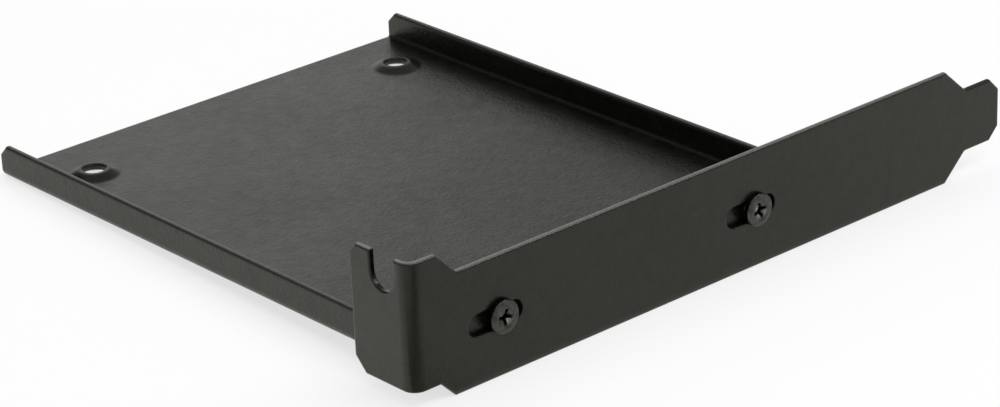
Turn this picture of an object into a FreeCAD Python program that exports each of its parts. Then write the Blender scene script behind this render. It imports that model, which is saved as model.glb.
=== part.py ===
import FreeCAD, Part
import os

# Mounting frame that carries a 2.5 inch drive in an expansion slot.
# A folded steel tray takes the drive from above, and a folded steel slot bracket closes it in front.
# Two low-head screws through adjusting slots in the bracket clamp it to the tray's front flange.
# X runs along the bracket from its bent tab to its tongue, Y runs back over the tray, Z is up.
# The origin is the middle of the drive's four screw holes, on the boss tops where the drive sits.

# Sheet and edges
sheet = 1.0
edge_round = 0.3
fit_gap = 0.05

# Drive: its width, its four bottom screw holes and the bosses pressed up around them
drive_width = 69.85
drive_hole_inset = 4.065
drive_pitch_y = 76.6
drive_hole_radius = 1.9
boss_height = 0.85
boss_base_radius = 4.05
boss_top_radius = 2.45
boss_wall_shift = 0.35
boss_base_round = 0.8
boss_top_round = 0.3

# Tray: floor, two low side flanges and the taller flange behind the bracket
drive_side_gap = 4.275
rear_margin = 11.9
front_margin = 15.1
side_height = 4.4
front_height = 8.6
tray_bend_inside = 0.3
side_corner_cut = 1.7
corner_relief = 1.5

# Slot bracket: plate, raised end with the bent tab, and tongue
bracket_length = 120.0
plate_width = 18.42
raised_bottom = 2.54
raised_top = 3.6
raised_length = 5.1
shoulder_start = 107.8
neck_start = 112.3
tongue_width = 10.19
tongue_corner_cut = 2.0
neck_round = 0.8
bracket_bend_inside = 1.2
tab_reach = 11.43
tab_low_corner_cut = 2.2
tab_high_corner_cut = 1.3
notch_width = 5.0
notch_depth = 5.4
notch_from_front = 5.6

# Adjusting slots in the plate, and the screws that stand off their middles towards the tongue
slot_from_tab = 15.2
slot_pitch = 50.0
slot_length = 10.1
slot_height = 3.4
screw_from_slot_middle = 1.1
screw_radius = 1.5
screw_head_radius = 2.55
screw_head_height = 1.0
screw_length = 4.0
screw_tip_cut = 0.4
head_edge_cut = 0.2
recess_reach = 1.3
recess_arm = 0.6
recess_floor_share = 0.5
recess_depth = 0.7
screw_turns = (8.0, -13.0)
collar_wall = 0.7
collar_length = 1.2

# Where the bracket sits on the tray
tab_to_tray = 4.0
plate_below_floor = 4.2

# Levels and edges that follow from the sizes above
drive_pitch_x = drive_width - 2 * drive_hole_inset
tray_width = drive_width + 2 * (drive_side_gap + sheet)
floor_top = -boss_height
floor_bottom = floor_top - sheet
tray_left = -tray_width / 2
tray_right = tray_width / 2
tray_front = -drive_pitch_y / 2 - front_margin
tray_rear = drive_pitch_y / 2 + rear_margin
side_front = tray_front + sheet + corner_relief
side_top = floor_top + side_height
front_top = floor_top + front_height
tray_bend_outside = tray_bend_inside + sheet
plate_front = tray_front - sheet
tab_outer = tray_left - tab_to_tray
plate_bottom = floor_top - plate_below_floor
plate_top = plate_bottom + plate_width
plate_middle = plate_bottom + plate_width / 2
raised_low = plate_bottom + raised_bottom
raised_high = plate_top + raised_top
bracket_bend_outside = bracket_bend_inside + sheet
bracket_end = tab_outer + bracket_length
tongue_inset = (plate_width - tongue_width) / 2
notch_radius = notch_width / 2
slot_middles = [tab_outer + slot_from_tab + n * slot_pitch for n in range(2)]
screw_places = [x + screw_from_slot_middle for x in slot_middles]
thread_hole_radius = screw_radius + fit_gap

ALONG_X = FreeCAD.Vector(1, 0, 0)
ALONG_Y = FreeCAD.Vector(0, 1, 0)
ALONG_Z = FreeCAD.Vector(0, 0, 1)
NEAR = 1e-3
SHARP_COSINE = 0.5
CUT_PAST = 1.0


def box(low, high):
    size = [b - a for a, b in zip(low, high)]
    return Part.makeBox(size[0], size[1], size[2], FreeCAD.Vector(*low))


def closed_outline(points):
    corners = [FreeCAD.Vector(*p) for p in points]
    return Part.makePolygon(corners + corners[:1])


def outline_face(points):
    return Part.Face(closed_outline(points))


def round_edges(solid, radius, wanted):
    return solid.makeFillet(radius, [e for e in solid.Edges if wanted(e)])


def runs_along(edge, direction):
    if not isinstance(edge.Curve, Part.Line):
        return False
    return abs(abs(edge.tangentAt(edge.FirstParameter).dot(direction)) - 1) < NEAR


def lies_at(edge, **place):
    middle = edge.CenterOfMass
    return all(abs(getattr(middle, axis) - value) < NEAR for axis, value in place.items())


def is_ring(edge, radius, level):
    if not isinstance(edge.Curve, Part.Circle):
        return False
    return abs(edge.Curve.Radius - radius) < NEAR and abs(edge.Curve.Center.z - level) < NEAR


def at_depth(edge, y):
    return abs(edge.BoundBox.YMin - y) < NEAR and abs(edge.BoundBox.YMax - y) < NEAR


def is_sharp(solid, edge):
    middle = edge.valueAt((edge.FirstParameter + edge.LastParameter) / 2)
    normals = [f.normalAt(*f.Surface.parameter(middle)) for f in solid.ancestorsOfType(edge, Part.Face)]
    return len(normals) == 2 and abs(normals[0].dot(normals[1])) < SHARP_COSINE


def crosses_sheet(edge):
    return isinstance(edge.Curve, Part.Line) and abs(edge.Length - sheet) < NEAR


def eased(folded, wanted):
    """Rounds the wanted edges along both faces of a folded sheet, but none across its thickness."""
    return round_edges(
        folded, edge_round, lambda e: wanted(e) and is_sharp(folded, e) and not crosses_sheet(e)
    )


def tray_sides():
    """Floor with both side flanges: one sheet bent up along its two long edges."""
    outer = box((tray_left, side_front, floor_bottom), (tray_right, tray_rear, side_top))
    hollow = box(
        (tray_left + sheet, side_front - CUT_PAST, floor_top),
        (tray_right - sheet, tray_rear + CUT_PAST, side_top + CUT_PAST),
    )
    folded = outer.cut(hollow)
    outer_lines = [(x, floor_bottom) for x in (tray_left, tray_right)]
    inner_lines = [(x, floor_top) for x in (tray_left + sheet, tray_right - sheet)]
    for lines, radius in ((outer_lines, tray_bend_outside), (inner_lines, tray_bend_inside)):
        folded = round_edges(
            folded,
            radius,
            lambda e: runs_along(e, ALONG_Y) and any(lies_at(e, x=x, z=z) for x, z in lines),
        )
    corners = [
        e
        for e in folded.Edges
        if runs_along(e, ALONG_X) and any(lies_at(e, y=y, z=side_top) for y in (side_front, tray_rear))
    ]
    return folded.makeChamfer(side_corner_cut, corners)


def tray_front_flange():
    """Front of the floor with the flange that stands behind the bracket, between the corner reliefs."""
    left = tray_left + corner_relief
    right = tray_right - corner_relief
    outer = box((left, tray_front, floor_bottom), (right, side_front + corner_relief, front_top))
    hollow = box(
        (left - CUT_PAST, tray_front + sheet, floor_top),
        (right + CUT_PAST, tray_rear, front_top + CUT_PAST),
    )
    folded = outer.cut(hollow)
    for y, z, radius in (
        (tray_front, floor_bottom, tray_bend_outside),
        (tray_front + sheet, floor_top, tray_bend_inside),
    ):
        folded = round_edges(folded, radius, lambda e: runs_along(e, ALONG_X) and lies_at(e, y=y, z=z))
    return folded


def tray():
    """Whole tray: the folds, the drawn collars for the screw threads and the pressed bosses."""
    folded = tray_sides().fuse(tray_front_flange()).removeSplitter()
    folded = eased(folded, lambda e: e.CenterOfMass.y > side_front + side_corner_cut)
    flange_back = tray_front + sheet
    for x in screw_places:
        collar_base = FreeCAD.Vector(x, flange_back, plate_middle)
        collar = Part.makeCylinder(thread_hole_radius + collar_wall, collar_length, collar_base, ALONG_Y)
        hole_start = FreeCAD.Vector(x, plate_front, plate_middle)
        thread_hole = Part.makeCylinder(thread_hole_radius, front_margin, hole_start, ALONG_Y)
        folded = folded.fuse(collar).cut(thread_hole)
    for x in (-drive_pitch_x / 2, drive_pitch_x / 2):
        for y in (-drive_pitch_y / 2, drive_pitch_y / 2):
            boss_foot = FreeCAD.Vector(x, y, floor_top)
            boss = Part.makeCone(boss_base_radius, boss_top_radius, boss_height, boss_foot)
            dimple = Part.makeCone(
                boss_base_radius - boss_wall_shift,
                boss_top_radius - boss_wall_shift,
                boss_height,
                FreeCAD.Vector(x, y, floor_bottom),
            )
            hole = Part.makeCylinder(
                drive_hole_radius,
                sheet + boss_height + 2 * CUT_PAST,
                FreeCAD.Vector(x, y, floor_bottom - CUT_PAST),
            )
            folded = folded.fuse(boss).cut(dimple).cut(hole)
    folded = round_edges(folded, boss_base_round, lambda e: is_ring(e, boss_base_radius, floor_top))
    return round_edges(folded, boss_top_round, lambda e: is_ring(e, boss_top_radius, 0.0))


def adjusting_slot(middle):
    """Cutter for one slot: a straight channel along the plate with two round ends."""
    start = plate_front - CUT_PAST
    depth = sheet + 2 * CUT_PAST
    radius = slot_height / 2
    reach = slot_length / 2 - radius
    cutter = box(
        (middle - reach, start, plate_middle - radius),
        (middle + reach, start + depth, plate_middle + radius),
    )
    for x in (middle - reach, middle + reach):
        end = Part.makeCylinder(radius, depth, FreeCAD.Vector(x, start, plate_middle), ALONG_Y)
        cutter = cutter.fuse(end)
    return cutter.removeSplitter()


def bracket_plate():
    """Flat of the bracket seen from the front, from the end of the bend to the tip of the tongue."""
    bend_end = tab_outer + bracket_bend_outside
    step = tab_outer + raised_length
    shoulder = tab_outer + shoulder_start
    neck = tab_outer + neck_start
    tongue_low = plate_bottom + tongue_inset
    tongue_high = plate_top - tongue_inset
    outline = [
        (bend_end, raised_low),
        (step, raised_low),
        (step + raised_bottom, plate_bottom),
        (shoulder, plate_bottom),
        (neck, tongue_low),
        (bracket_end - tongue_corner_cut, tongue_low),
        (bracket_end, tongue_low + tongue_corner_cut),
        (bracket_end, tongue_high - tongue_corner_cut),
        (bracket_end - tongue_corner_cut, tongue_high),
        (neck, tongue_high),
        (shoulder, plate_top),
        (step + raised_top, plate_top),
        (step, raised_high),
        (bend_end, raised_high),
    ]
    plate = outline_face([(x, plate_front, z) for x, z in outline]).extrude(ALONG_Y * sheet)
    hollow_corners = [
        (neck, tongue_low),
        (neck, tongue_high),
        (step + raised_top, plate_top),
    ]
    return round_edges(
        plate,
        neck_round,
        lambda e: runs_along(e, ALONG_Y) and any(lies_at(e, x=x, z=z) for x, z in hollow_corners),
    )


def bracket_tab():
    """Tab bent back along the tray's side, with its corners cut and an open notch for the case screw."""
    bend_end = plate_front + bracket_bend_outside
    free_edge = plate_front + sheet + tab_reach
    outline = [
        (bend_end, raised_low),
        (free_edge - tab_low_corner_cut, raised_low),
        (free_edge, raised_low + tab_low_corner_cut),
        (free_edge, raised_high - tab_high_corner_cut),
        (free_edge - tab_high_corner_cut, raised_high),
        (bend_end, raised_high),
    ]
    flat = outline_face([(tab_outer, y, z) for y, z in outline]).extrude(ALONG_X * sheet)
    notch_middle = plate_front + notch_from_front
    notch_floor = raised_high - notch_depth
    slot = box(
        (tab_outer - CUT_PAST, notch_middle - notch_radius, notch_floor + notch_radius),
        (tab_outer + sheet + CUT_PAST, notch_middle + notch_radius, raised_high + CUT_PAST),
    )
    round_floor = Part.makeCylinder(
        notch_radius,
        sheet + 2 * CUT_PAST,
        FreeCAD.Vector(tab_outer - CUT_PAST, notch_middle, notch_floor + notch_radius),
        ALONG_X,
    )
    return flat.cut(slot.fuse(round_floor).removeSplitter())


def bracket():
    """Plate, bend and tab as one folded sheet, eased all round, with the two slots punched in it."""
    plate = bracket_plate()
    bend_x = tab_outer + bracket_bend_outside
    bend_y = plate_front + bracket_bend_outside
    section = outline_face(
        [
            (bend_x, plate_front, raised_low),
            (bend_x, plate_front + sheet, raised_low),
            (bend_x, plate_front + sheet, raised_high),
            (bend_x, plate_front, raised_high),
        ]
    )
    bend = section.revolve(FreeCAD.Vector(bend_x, bend_y, 0), ALONG_Z, -90)
    folded = eased(plate.fuse([bend, bracket_tab()]).removeSplitter(), lambda e: True)
    return folded.cut([adjusting_slot(middle) for middle in slot_middles])


def screw(x, turn):
    """Low-head screw seated on the plate's front, its cross recess turned by the given degrees."""
    seat = FreeCAD.Vector(x, plate_front, plate_middle)
    head_start = seat - ALONG_Y * screw_head_height
    head = Part.makeCylinder(screw_head_radius, screw_head_height, head_start, ALONG_Y)
    shank = Part.makeCylinder(screw_radius, screw_length, seat, ALONG_Y)
    tip = plate_front + screw_length
    shank = shank.makeChamfer(screw_tip_cut, [e for e in shank.Edges if at_depth(e, tip)])
    face = plate_front - screw_head_height
    head = head.makeChamfer(head_edge_cut, [e for e in head.Edges if at_depth(e, face)])
    body = head.fuse(shank)
    for quarter in (0, 90):
        sections = []
        for depth, share in ((-fit_gap, 1.0), (recess_depth, recess_floor_share)):
            reach = recess_reach * share
            half = recess_arm * (1 + share) / 4
            y = face + depth
            corners = [(-reach, -half), (reach, -half), (reach, half), (-reach, half)]
            sections.append(closed_outline([(x + a, y, plate_middle + b) for a, b in corners]))
        arm = Part.makeLoft(sections, True, True)
        arm.rotate(seat, ALONG_Y, turn + quarter)
        body = body.cut(arm)
    return body


os.makedirs("parts", exist_ok=True)
tray().Solids[0].exportStep("parts/drive_tray.step")
bracket().Solids[0].exportStep("parts/slot_bracket.step")
screws = Part.makeCompound([screw(x, turn) for x, turn in zip(screw_places, screw_turns)])
screws.exportStep("parts/bracket_screws.step")
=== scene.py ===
import math

import bmesh
import bpy
from mathutils import Matrix, Vector


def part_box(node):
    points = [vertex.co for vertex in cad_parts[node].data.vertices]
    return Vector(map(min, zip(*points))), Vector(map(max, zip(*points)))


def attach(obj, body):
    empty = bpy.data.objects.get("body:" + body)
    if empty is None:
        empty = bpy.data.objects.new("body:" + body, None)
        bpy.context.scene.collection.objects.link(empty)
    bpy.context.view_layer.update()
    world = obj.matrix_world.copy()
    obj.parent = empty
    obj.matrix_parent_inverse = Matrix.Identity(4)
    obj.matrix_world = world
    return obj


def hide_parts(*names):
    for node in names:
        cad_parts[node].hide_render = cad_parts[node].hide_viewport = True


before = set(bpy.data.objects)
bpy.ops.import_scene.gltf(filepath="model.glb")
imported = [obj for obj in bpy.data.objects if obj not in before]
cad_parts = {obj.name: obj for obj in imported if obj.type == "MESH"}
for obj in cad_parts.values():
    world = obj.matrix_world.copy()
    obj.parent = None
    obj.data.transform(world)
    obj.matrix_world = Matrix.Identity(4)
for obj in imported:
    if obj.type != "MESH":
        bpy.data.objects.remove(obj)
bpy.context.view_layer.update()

# Drive tray: one blank of 1 mm steel sheet, pierced and pressed for the four drive screws,
# folded up along its two sides and its front, and then powder coated all over.
# The coat is satin black with a fine leathery grain, rubbed on the edges; edges and flange tops get a
# painted highlight.
tray_black = (0.0066, 0.0065, 0.006, 1.0)
# Painted highlight on the flange tops.
tray_top_highlight_black = (0.026, 0.026, 0.025, 1.0)
above_bosses = 0.001
coat_black = (0.0008, 0.0008, 0.0007, 1.0)
# Edge tone: partly rubbed wear, partly a painted highlight.
coat_rubbed_highlight_black = (0.013, 0.013, 0.0125, 1.0)
coat_sheen = (0.99, 1.0, 0.82, 1.0)
coat_ior = 1.47
grain_detail = 2.0
grain_strength = 0.5
grains_per_ripple = 4.0
ripple_detail = 1.0
ripple_strength = 0.3
handling_pitch = 0.024
handling_detail = 3.0
edge_samples = 6
rubbed_roughness = -0.06

# Where a look begins and where it is full: cosines for edges and tops, sums of clouds for the rest.
edge_begins, edge_full = 0.995, 0.86
top_begins, top_full = 0.5, 0.95
darkest_cloud, palest_cloud = 1.8, 1.2
smoothest_cloud, roughest_cloud = 1.1, 1.9


def new_material(name):
    """A plain material and its main shader."""
    material = bpy.data.materials.new(name)
    material.use_nodes = True
    return material, material.node_tree.nodes["Principled BSDF"]


def feed(tree, value, socket):
    """Links an output to an input, or sets a plain number or colour on the input."""
    if isinstance(value, bpy.types.NodeSocket):
        tree.links.new(value, socket)
    else:
        socket.default_value = value


def cloud(tree, pitch, detail):
    """Cloudy unevenness in the piece's own space."""
    place = tree.nodes.new("ShaderNodeTexCoord")
    noise = tree.nodes.new("ShaderNodeTexNoise")
    noise.inputs["Scale"].default_value = 1.0 / pitch
    noise.inputs["Detail"].default_value = detail
    tree.links.new(place.outputs["Object"], noise.inputs["Vector"])
    return noise.outputs["Fac"]


def in_range(tree, value, begins, full, at_begin=0.0, at_full=1.0):
    """Carries a value from one range over to another."""
    carried = tree.nodes.new("ShaderNodeMapRange")
    carried.inputs["From Min"].default_value = begins
    carried.inputs["From Max"].default_value = full
    carried.inputs["To Min"].default_value = at_begin
    carried.inputs["To Max"].default_value = at_full
    tree.links.new(value, carried.inputs["Value"])
    return carried.outputs["Result"]


def combine(tree, operation, *values):
    """One step of arithmetic on outputs and plain numbers."""
    step = tree.nodes.new("ShaderNodeMath")
    step.operation = operation
    for value, socket in zip(values, step.inputs):
        feed(tree, value, socket)
    return step.outputs["Value"]


def blend_tone(tree, share, plain, full):
    """Goes from one tone to another as the share rises."""
    blend = tree.nodes.new("ShaderNodeMix")
    blend.data_type = "RGBA"
    feed(tree, share, blend.inputs["Factor"])
    feed(tree, plain, blend.inputs["A"])
    feed(tree, full, blend.inputs["B"])
    return blend.outputs["Result"]


def raised(tree, height, strength, distance, normal=None):
    """The normal of a surface that a cloud raises, on top of another normal where one is given."""
    bump = tree.nodes.new("ShaderNodeBump")
    bump.inputs["Strength"].default_value = strength
    bump.inputs["Distance"].default_value = distance
    tree.links.new(height, bump.inputs["Height"])
    if normal is not None:
        tree.links.new(normal, bump.inputs["Normal"])
    return bump.outputs["Normal"]


def coordinate(tree, vector, axis):
    """One coordinate of a vector."""
    parts = tree.nodes.new("ShaderNodeSeparateXYZ")
    tree.links.new(vector, parts.inputs["Vector"])
    return parts.outputs[axis]


def powder_coat(name, palest_black, grain_pitch, grain_height, smoothest, roughest, edge_round):
    """Baked-on powder coat with grain and flow ripple, uneven in tone and gloss; rubbed edges with a
    painted highlight.
    """
    coat, shader = new_material(name)
    tree = coat.node_tree
    shader.inputs["IOR"].default_value = coat_ior
    shader.inputs["Specular Tint"].default_value = coat_sheen
    grain = cloud(tree, grain_pitch, grain_detail)
    ripple = cloud(tree, grain_pitch * grains_per_ripple, ripple_detail)
    handling = cloud(tree, handling_pitch, handling_detail)

    # The coat runs softly over the edges of the sheet.
    softened = tree.nodes.new("ShaderNodeBevel")
    softened.samples = edge_samples
    softened.inputs["Radius"].default_value = edge_round
    soft_normal = softened.outputs["Normal"]

    # Grain on top of the slow ripple that the molten powder leaves.
    rippled = raised(tree, ripple, ripple_strength, grain_height, soft_normal)
    grained = raised(tree, grain, grain_strength, grain_height, rippled)
    tree.links.new(grained, shader.inputs["Normal"])

    # An edge shows where the soft normal leans away from the face's own.
    face = tree.nodes.new("ShaderNodeNewGeometry")
    agree = tree.nodes.new("ShaderNodeVectorMath")
    agree.operation = "DOT_PRODUCT"
    tree.links.new(soft_normal, agree.inputs[0])
    tree.links.new(face.outputs["True Normal"], agree.inputs[1])
    edge = in_range(tree, agree.outputs["Value"], edge_begins, edge_full)
    rubbed_and_highlit = combine(tree, "MULTIPLY", edge, handling)

    # Tone and gloss are uneven three ways: by handling, by the ripple's patches and by the grain itself.
    patches = combine(tree, "ADD", ripple, handling)
    clouds = combine(tree, "ADD", patches, grain)
    mottling = in_range(tree, clouds, darkest_cloud, palest_cloud)
    tone = blend_tone(tree, mottling, coat_black, palest_black)
    # Edges are painted paler: partly rubbed wear, partly a painted highlight.
    edge_tone = blend_tone(tree, rubbed_and_highlit, tone, coat_rubbed_highlight_black)
    tree.links.new(edge_tone, shader.inputs["Base Color"])
    gloss = in_range(tree, clouds, smoothest_cloud, roughest_cloud, smoothest, roughest)
    edge_gloss = combine(tree, "MULTIPLY_ADD", rubbed_and_highlit, rubbed_roughness, gloss)
    tree.links.new(edge_gloss, shader.inputs["Roughness"])
    return coat


def paint_top_highlight(coat, lowest, highlight_tone):
    """Paints a highlight on edges that face upwards, from a height up: a paler tone in place of light
    falling on them.
    """
    tree = coat.node_tree
    base = tree.nodes["Principled BSDF"].inputs["Base Color"]
    full_tone = base.links[0].from_socket
    surface = tree.nodes.new("ShaderNodeNewGeometry")
    facing = coordinate(tree, surface.outputs["True Normal"], "Z")
    upwards = in_range(tree, facing, top_begins, top_full)
    high_up = combine(tree, "GREATER_THAN", coordinate(tree, surface.outputs["Position"], "Z"), lowest)
    lit_top = combine(tree, "MULTIPLY", upwards, high_up)
    tree.links.new(blend_tone(tree, lit_top, full_tone, highlight_tone), base)


def coat_node(node, coat):
    """Gives every material slot of a solid the same coat."""
    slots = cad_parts[node].data.materials
    for n in range(len(slots)):
        slots[n] = coat


tray_coat = powder_coat(
    "tray_powder_coat",
    palest_black=tray_black,
    grain_pitch=0.0006,
    grain_height=0.00011,
    smoothest=0.28,
    roughest=0.36,
    edge_round=0.0008,
)
# The flange tops get a painted highlight.
paint_top_highlight(tray_coat, above_bosses, tray_top_highlight_black)
coat_node("drive_tray", tray_coat)

# Slot bracket: a second blank of the same sheet, with its two slots pierced, its tab notched and bent back.
# It has the same black powder coat, a little smoother than the tray's, and is clamped by the two screws.
# Its sheared top edges are painted paler, as a highlight.
bracket_low, bracket_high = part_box("slot_bracket")
top_edge_band = 0.0045
bracket_black = (0.0058, 0.0057, 0.0052, 1.0)
# Painted highlight on the top edges.
bracket_top_highlight_black = (0.1, 0.1, 0.097, 1.0)
bracket_coat = powder_coat(
    "bracket_powder_coat",
    palest_black=bracket_black,
    grain_pitch=0.0005,
    grain_height=0.00004,
    smoothest=0.22,
    roughest=0.32,
    edge_round=0.0004,
)
# The top edges get a painted highlight.
paint_top_highlight(bracket_coat, bracket_high.z - top_edge_band, bracket_top_highlight_black)
coat_node("slot_bracket", bracket_coat)

# Bracket screws: two low-head steel screws, cold headed with a cross recess, thread rolled, plated black.
# They go through the bracket's slots into tapped collars in the tray's front flange and clamp the sheets.
# A driver has worn the plating on the recess's lips down to bright steel, and the recess is dark inside.
screws_low, screws_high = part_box("bracket_screws")
plate_front = bracket_low.y
screw_height = (screws_high.z + screws_low.z) / 2

# A screw is made in millimetres and scaled once it is finished.
mm = 0.001
head_radius = (screws_high.z - screws_low.z) / 2 / mm
head_height = (plate_front - screws_low.y) / mm
screw_length = (screws_high.y - plate_front) / mm
thread_radius = 1.48
thread_pitch = 0.5
thread_depth = 0.27
tip_cut = 0.4
head_rim_round = 0.26
head_rim_steps = 6
head_edge_break = 0.08
points_around = 48
rings_per_turn = 8

# The head's slightly dished face: shares of its flat radius, and how far each point is set back.
head_face = (
    (0.25, 0.07),
    (0.33, 0.068),
    (0.4, 0.065),
    (0.5, 0.06),
    (0.65, 0.03),
    (0.8, 0.0),
    (0.92, 0.03),
    (1.0, 0.09),
)
recess_reach = 1.3
recess_half_arm = 0.28
recess_core = 0.85
recess_depth = 1.0

# Steps down the recess: shares of its depth, of its reach and of its core.
recess_steps = (
    (-0.2, 1.08, 1.24),
    (0.07, 0.97, 0.92),
    (0.35, 0.86, 0.6),
    (0.65, 0.72, 0.32),
    (1.0, 0.55, 0.2),
)
recess_point = 1.25
arm_taper = 0.55
corner_clearance = 1.1
recess_edge_break = 0.04
edge_break_steps = 2
edge_break_angle = math.radians(40.0)
sharp_angle = math.radians(38.0)
screw_turns = (math.radians(8.0), math.radians(-13.0))

# Wear and shade: the bearings are in degrees, and the margins are shares of the depth and of the core.
lip_depth = 0.09
wear_depth = 0.65
depth_margin = 1.3
core_margin = 1.2
worn_corners = ((-53.0,), (148.0, 238.0, -32.0))
corner_radius = 0.85
corner_width = 0.45
corner_spread = 42.0
side_shade = 0.8

# Plating: fine drawing marks and larger blotches.
plating_black = (0.051, 0.051, 0.0445, 1.0)
plating_black_light = (0.11, 0.11, 0.096, 1.0)
bare_steel = (0.58, 0.57, 0.55, 1.0)
recess_black = (0.008, 0.008, 0.008, 1.0)
scratch_pitch = mm / 5.2
blotch_pitch = mm / 1.5
plating_detail = 3.0
bare_begins, bare_full = 0.35, 0.6
blotch_begins, blotch_full = 0.33, 0.67
smoothest_plating, roughest_plating = 0.26, 0.44
scratch_strength = 0.25
scratch_height = 0.01 * mm


def ring_of_points(mesh, y, radius_at):
    """One loop of vertices round the screw's axis."""
    ring = []
    for n in range(points_around):
        turn = 2 * math.pi * n / points_around
        radius = radius_at(turn)
        ring.append(mesh.verts.new((radius * math.cos(turn), y, radius * math.sin(turn))))
    return ring


def join_rings(mesh, rings):
    """Skins a row of loops that have the same number of vertices."""
    for near, far in zip(rings, rings[1:]):
        for n in range(len(near)):
            m = (n + 1) % len(near)
            mesh.faces.new((near[n], near[m], far[m], far[n]))


def screw_blank():
    """Headed and threaded blank, along +Y from the head's face, with its seat at y = 0."""
    mesh = bmesh.new()
    flat_radius = head_radius - head_rim_round
    profile = [(flat_radius * share, -head_height + set_back) for share, set_back in head_face]
    rim_start = profile[-1][1]
    for step in range(1, head_rim_steps + 1):
        lean = math.pi / 2 * step / head_rim_steps
        radius = flat_radius + head_rim_round * math.sin(lean)
        profile.append((radius, rim_start + head_rim_round * (1 - math.cos(lean))))
    profile += [
        (head_radius, -head_edge_break),
        (head_radius - head_edge_break, 0.0),
        (thread_radius - thread_depth, 0.0),
    ]
    rings = [ring_of_points(mesh, y, lambda turn, r=r: r) for r, y in profile]
    count = round(screw_length / thread_pitch * rings_per_turn)
    for n in range(1, count + 1):
        y = screw_length * n / count
        limit = thread_radius - max(0.0, y - (screw_length - tip_cut))

        def flank(turn, y=y, limit=limit):
            phase = (y / thread_pitch - turn / (2 * math.pi)) % 1.0
            rise = 1 - abs(2 * phase - 1)
            return min(limit, thread_radius - thread_depth * (1 - rise))

        rings.append(ring_of_points(mesh, y, flank))
    join_rings(mesh, rings)
    mesh.faces.new(list(reversed(rings[0])))
    mesh.faces.new(rings[-1])
    bmesh.ops.recalc_face_normals(mesh, faces=mesh.faces)
    return mesh


def recess_punch():
    """Cross-shaped punch for the recess: four tapered wings round a tapered core with a blunt point."""
    mesh = bmesh.new()
    face = -head_height
    loops = []
    for depth_share, reach_share, core_share in recess_steps:
        y = face + recess_depth * depth_share
        reach = recess_reach * reach_share
        half = recess_half_arm * (1 - arm_taper + arm_taper * reach_share)
        corner = max(recess_core * core_share, half * corner_clearance)
        loop = []
        for quarter in range(4):
            turn = Matrix.Rotation(-math.pi / 2 * quarter, 3, "Y")
            for x, z in ((reach, half), (corner, half), (half, corner), (half, reach)):
                loop.append(mesh.verts.new(turn @ Vector((x, y, z))))
        loops.append(loop)
    join_rings(mesh, loops)
    mesh.faces.new(list(reversed(loops[0])))
    point = mesh.verts.new((0, face + recess_depth * recess_point, 0))
    last = loops[-1]
    for n in range(len(last)):
        mesh.faces.new((last[n], last[(n + 1) % len(last)], point))
    bmesh.ops.recalc_face_normals(mesh, faces=mesh.faces)
    return mesh


def into_object(name, mesh):
    """Puts a built mesh into the scene."""
    data = bpy.data.meshes.new(name)
    mesh.to_mesh(data)
    mesh.free()
    made = bpy.data.objects.new(name, data)
    bpy.context.scene.collection.objects.link(made)
    return made


def press_recess(screw, turn):
    """Presses the cross recess into a screw's head, turned about its axis, and breaks the sharp edges."""
    punch = into_object("recess_punch", recess_punch())
    punch.rotation_euler = (0, turn, 0)
    cut = screw.modifiers.new("recess", "BOOLEAN")
    cut.object = punch
    cut.solver = "EXACT"
    broken = screw.modifiers.new("edge_break", "BEVEL")
    broken.width = recess_edge_break
    broken.segments = edge_break_steps
    broken.angle_limit = edge_break_angle
    bpy.context.view_layer.update()
    evaluated = screw.evaluated_get(bpy.context.evaluated_depsgraph_get())
    finished = bpy.data.meshes.new_from_object(evaluated)
    screw.modifiers.clear()
    screw.data = finished
    bpy.data.objects.remove(punch)


def mark_wear(mesh, corners):
    """Marks where a driver has worn the plating, and what lies in shade: the recess and the head's side."""
    for name in ("driver_wear", "recess_shade"):
        mesh.attributes.new(name, "FLOAT", "POINT")
    wear = mesh.attributes["driver_wear"].data
    shade = mesh.attributes["recess_shade"].data
    for n, vertex in enumerate(mesh.vertices):
        from_axis = math.hypot(vertex.co.x, vertex.co.z)
        depth = vertex.co.y + head_height
        if from_axis < recess_reach and lip_depth < depth < recess_depth * depth_margin:
            on_core = from_axis < recess_core * core_margin
            wear[n].value = max(0.0, 1 - depth / wear_depth) if on_core else 0.0
            shade[n].value = min(1.0, max(0.0, 2 * depth / wear_depth - 1)) if on_core else 1.0
        elif from_axis > head_radius - head_edge_break and depth > head_rim_round:
            shade[n].value = side_shade
        elif depth <= lip_depth:
            bearing = math.degrees(math.atan2(vertex.co.z, vertex.co.x))
            for corner in corners:
                off_corner = abs((bearing - corner + 180) % 360 - 180)
                across = max(0.0, 1 - off_corner / corner_spread)
                along = max(0.0, 1 - abs(from_axis - corner_radius) / corner_width)
                wear[n].value = max(wear[n].value, across * along)


def marked(tree, name):
    """A value that is marked on the mesh."""
    mark = tree.nodes.new("ShaderNodeAttribute")
    mark.attribute_name = name
    return mark.outputs["Fac"]


def black_plating():
    """Black plating on steel, with fine drawing marks, and bare steel showing where the driver has been."""
    plating, shader = new_material("black_plated_steel")
    tree = plating.node_tree
    shader.inputs["Metallic"].default_value = 1.0
    scratches = cloud(tree, scratch_pitch, plating_detail)
    blotches = in_range(tree, cloud(tree, blotch_pitch, plating_detail), blotch_begins, blotch_full)
    plated_tone = blend_tone(tree, blotches, plating_black, plating_black_light)
    scratched_off = in_range(tree, scratches, bare_begins, bare_full)
    bared = combine(tree, "MULTIPLY", marked(tree, "driver_wear"), scratched_off)
    worn_tone = blend_tone(tree, bared, plated_tone, bare_steel)
    shaded_tone = blend_tone(tree, marked(tree, "recess_shade"), worn_tone, recess_black)
    tree.links.new(shaded_tone, shader.inputs["Base Color"])
    gloss = in_range(tree, scratches, 0.0, 1.0, smoothest_plating, roughest_plating)
    tree.links.new(gloss, shader.inputs["Roughness"])
    scratched = raised(tree, scratches, scratch_strength, scratch_height)
    tree.links.new(scratched, shader.inputs["Normal"])
    return plating


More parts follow.
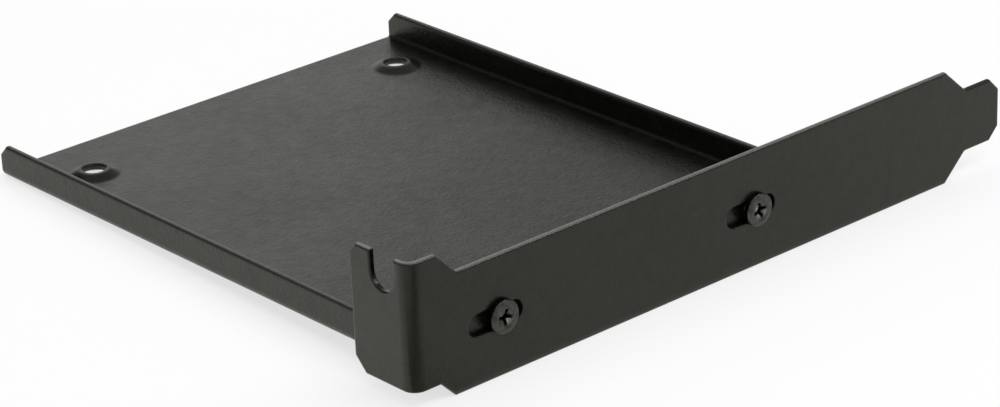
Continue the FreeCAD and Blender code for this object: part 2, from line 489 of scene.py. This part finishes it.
screw_plating = black_plating()
screw_sides = ("near_tab", "near_tongue")
screw_middles = (screws_low.x + head_radius * mm, screws_high.x - head_radius * mm)
for side, middle, turn, corners in zip(screw_sides, screw_middles, screw_turns, worn_corners):
    blank = into_object(f"bracket_screw_{side}", screw_blank())
    press_recess(blank, turn)
    mark_wear(blank.data, corners)
    for face in blank.data.polygons:
        face.use_smooth = True
    blank.data.set_sharp_from_angle(angle=sharp_angle)
    blank.data.transform(Matrix.Scale(mm, 4))
    blank.data.materials.append(screw_plating)
    blank.location = (middle, plate_front, screw_height)
    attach(blank, "root")
    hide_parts("bracket_screws")

# Table: a plain white sheet that the frame lies on, tipped a little because the frame rests
# on the bracket's lower edge in front and on the tray's rear edge behind.
# The paper glows where it is seen, so that it stays white, and it is clear from below.
tray_low, tray_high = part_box("drive_tray")
rest_front = Vector((0, plate_front, bracket_low.z))
rest_rear = Vector((0, tray_high.y, tray_low.z))
table_slope = math.atan2(rest_rear.z - rest_front.z, rest_rear.y - rest_front.y)
table_span = 6.0
paper_white = (0.9, 0.9, 0.895, 1.0)
paper_roughness = 0.9
paper_shine = 0.1
paper_glow = 0.7


def flat_sheet(name, middle, tilt, width, depth, material):
    """A flat sheet, tilted about the X axis."""
    bpy.ops.mesh.primitive_plane_add(size=1.0, location=middle, rotation=(tilt, 0, 0))
    sheet = bpy.context.object
    sheet.name = name
    sheet.scale = (width, depth, 1.0)
    sheet.data.materials.append(material)
    return sheet


def blend_shaders(tree, share, plain, full):
    """Goes from one shader to another as the share rises."""
    blend = tree.nodes.new("ShaderNodeMixShader")
    tree.links.new(share, blend.inputs["Fac"])
    tree.links.new(plain, blend.inputs[1])
    tree.links.new(full, blend.inputs[2])
    return blend.outputs["Shader"]


def white_paper():
    """Matt white paper that glows where it is seen, and that a view from below looks through."""
    paper, shader = new_material("white_paper")
    tree = paper.node_tree
    shader.inputs["Base Color"].default_value = paper_white
    shader.inputs["Roughness"].default_value = paper_roughness
    shader.inputs["Specular IOR Level"].default_value = paper_shine
    ray = tree.nodes.new("ShaderNodeLightPath").outputs
    seen = combine(tree, "MAXIMUM", ray["Is Camera Ray"], ray["Is Glossy Ray"])
    seen_through = combine(tree, "MAXIMUM", seen, ray["Is Transmission Ray"])
    glow_share = combine(tree, "MULTIPLY", seen_through, paper_glow)
    glow = tree.nodes.new("ShaderNodeEmission")
    upper = blend_shaders(tree, glow_share, shader.outputs["BSDF"], glow.outputs["Emission"])
    clear = tree.nodes.new("ShaderNodeBsdfTransparent")
    side = tree.nodes.new("ShaderNodeNewGeometry")
    both = blend_shaders(tree, side.outputs["Backfacing"], upper, clear.outputs["BSDF"])
    tree.links.new(both, tree.nodes["Material Output"].inputs["Surface"])
    return paper


table = flat_sheet("table", rest_front, table_slope, table_span, table_span, white_paper())

# Studio: an even pale room, a large soft box overhead that lights the table, a soft box behind,
# one in front, a low soft panel behind on the right, which the tray's floor mirrors towards the camera,
# and a small lamp in front on the right, which glints on the rounded edges.
room_white = (1.0, 1.0, 1.0, 1.0)
room_strength = 0.33
room = bpy.data.worlds.new("pale_room")
bpy.context.scene.world = room
room.use_nodes = True
room_light = room.node_tree.nodes["Background"]
room_light.inputs["Color"].default_value = room_white
room_light.inputs["Strength"].default_value = room_strength


def soft_box(name, place, width, height, power, aim=(0, 0, 0)):
    """A square-cornered lamp that the camera doesn't see, aimed at the frame."""
    lamp = bpy.data.lights.new(name, "AREA")
    lamp.shape = "RECTANGLE"
    lamp.size = width
    lamp.size_y = height
    lamp.energy = power
    box = bpy.data.objects.new(name, lamp)
    bpy.context.scene.collection.objects.link(box)
    box.location = place
    box.rotation_euler = (Vector(aim) - Vector(place)).to_track_quat("-Z", "Y").to_euler()
    box.visible_camera = False
    return box


soft_box("rear_soft_box", (0.2, 1.0, 0.75), width=1.2, height=0.6, power=1.7)
soft_box("rear_soft_panel", (0.45, 0.75, 0.165), width=0.6, height=0.4, power=0.35, aim=(0, 0, 0.02))
soft_box("front_soft_box", (0.0, -0.5, 0.75), width=1.0, height=0.22, power=2.2)
soft_box("front_lamp", (0.52, -0.35, 0.64), width=0.12, height=0.12, power=0.6)
table_light = soft_box("table_light", (0, 0, 1.0), width=1.2, height=1.2, power=6.5)
table_light.visible_glossy = False

# Reflection card: lies on the table in front of the bracket, with a dark stripe: a painted reflection of a
# darker table.
# Only reflections show it. It takes the white table out of the bracket's front and deepens its bend.
# Its tones are a glow, so that the bracket's own shadow doesn't dim it.
card_width = 0.5
card_depth = 0.24
card_shift = -0.1
card_gap = 0.0008
card_lift = 0.0002
card_roughness = 0.9
card_black = (0.0, 0.0, 0.0, 1.0)
card_glow = 1.8

# Tones along the card from left to right: shares of its width, and the grey at each.
card_tones = ((0.545, 0.44), (0.58, 0.16), (0.6, 0.16), (0.64, 0.36), (0.76, 0.39), (0.9, 0.45))


def painted_reflection_card():
    """Card that glows in greys that change along its width, as a painted reflection."""
    stock, shader = new_material("painted_reflection_card")
    tree = stock.node_tree
    shader.inputs["Base Color"].default_value = card_black
    shader.inputs["Roughness"].default_value = card_roughness
    shader.inputs["Emission Strength"].default_value = card_glow
    ramp = tree.nodes.new("ShaderNodeValToRGB")
    stops = ramp.color_ramp.elements
    positions, tones = zip(*card_tones)
    for position in positions[1:-1]:
        stops.new(position)
    for stop, position, tone in zip(stops, positions, tones):
        stop.position = position
        stop.color = (tone, tone, tone, 1.0)
    place = tree.nodes.new("ShaderNodeTexCoord")
    tree.links.new(coordinate(tree, place.outputs["Generated"], "X"), ramp.inputs["Fac"])
    tree.links.new(ramp.outputs["Color"], shader.inputs["Emission Color"])
    return stock


def show_in_reflections_only(sheet):
    """Hides a stage piece from the camera and keeps it from lighting or shading anything."""
    sheet.visible_camera = False
    sheet.visible_diffuse = False
    sheet.visible_shadow = False


card_middle = Vector((card_shift, plate_front - card_gap - card_depth / 2, 0))
card_middle.z = rest_front.z + (card_middle.y - rest_front.y) * math.tan(table_slope) + card_lift
card = flat_sheet("painted_reflection_card", card_middle, table_slope, card_width, card_depth, painted_reflection_card())
show_in_reflections_only(card)

# Dark screen: a dark cloth that stands behind on the left, a painted reflection.
# Only reflections show it. It keeps most of the room's light out of folds and boss sides that face left.
screen_left, screen_right = -0.75, 0.1
screen_bottom, screen_top = 0.04, 0.62
screen_back = 0.5
cloth_black = (0.0, 0.0, 0.0, 1.0)
cloth_glow_white = (1.0, 1.0, 1.0, 1.0)
cloth_glow = 0.1
cloth_shine = 0.0


def dark_cloth():
    """Black cloth without shine, with the little light that it throws back."""
    cloth, shader = new_material("dark_cloth")
    shader.inputs["Base Color"].default_value = cloth_black
    shader.inputs["Specular IOR Level"].default_value = cloth_shine
    shader.inputs["Emission Color"].default_value = cloth_glow_white
    shader.inputs["Emission Strength"].default_value = cloth_glow
    return cloth


screen_middle = ((screen_left + screen_right) / 2, screen_back, (screen_bottom + screen_top) / 2)
screen = flat_sheet(
    "dark_screen",
    screen_middle,
    math.pi / 2,
    screen_right - screen_left,
    screen_top - screen_bottom,
    dark_cloth(),
)
show_in_reflections_only(screen)

# Camera: stands above and to the left of the bracket's tab, tipped slightly, with a long lens.
# Its place, angles and lens were fitted to the edges that the photo shows.
camera_place = (-0.31304, -0.38642, 0.21292)
camera_azimuth = math.radians(-40.715)
camera_elevation = math.radians(23.677)
camera_roll = math.radians(-2.435)
camera_lens = 126.41
sensor_width = 36.0
nearest_seen, farthest_seen = 0.01, 50.0
back = Vector(
    (
        math.sin(camera_azimuth) * math.cos(camera_elevation),
        -math.cos(camera_azimuth) * math.cos(camera_elevation),
        math.sin(camera_elevation),
    )
)
level_right = Vector((0, 0, 1)).cross(back).normalized()
level_up = back.cross(level_right)
right = level_right * math.cos(camera_roll) + level_up * math.sin(camera_roll)
up = level_up * math.cos(camera_roll) - level_right * math.sin(camera_roll)
lens = bpy.data.cameras.new("camera")
lens.sensor_width = sensor_width
lens.sensor_fit = "HORIZONTAL"
lens.lens = camera_lens
lens.clip_start = nearest_seen
lens.clip_end = farthest_seen
camera = bpy.data.objects.new("camera", lens)
bpy.context.scene.collection.objects.link(camera)
camera.matrix_world = Matrix.Translation(camera_place) @ Matrix((right, up, back)).transposed().to_4x4()
bpy.context.scene.camera = camera
bpy.context.scene.view_settings.view_transform = "Standard"
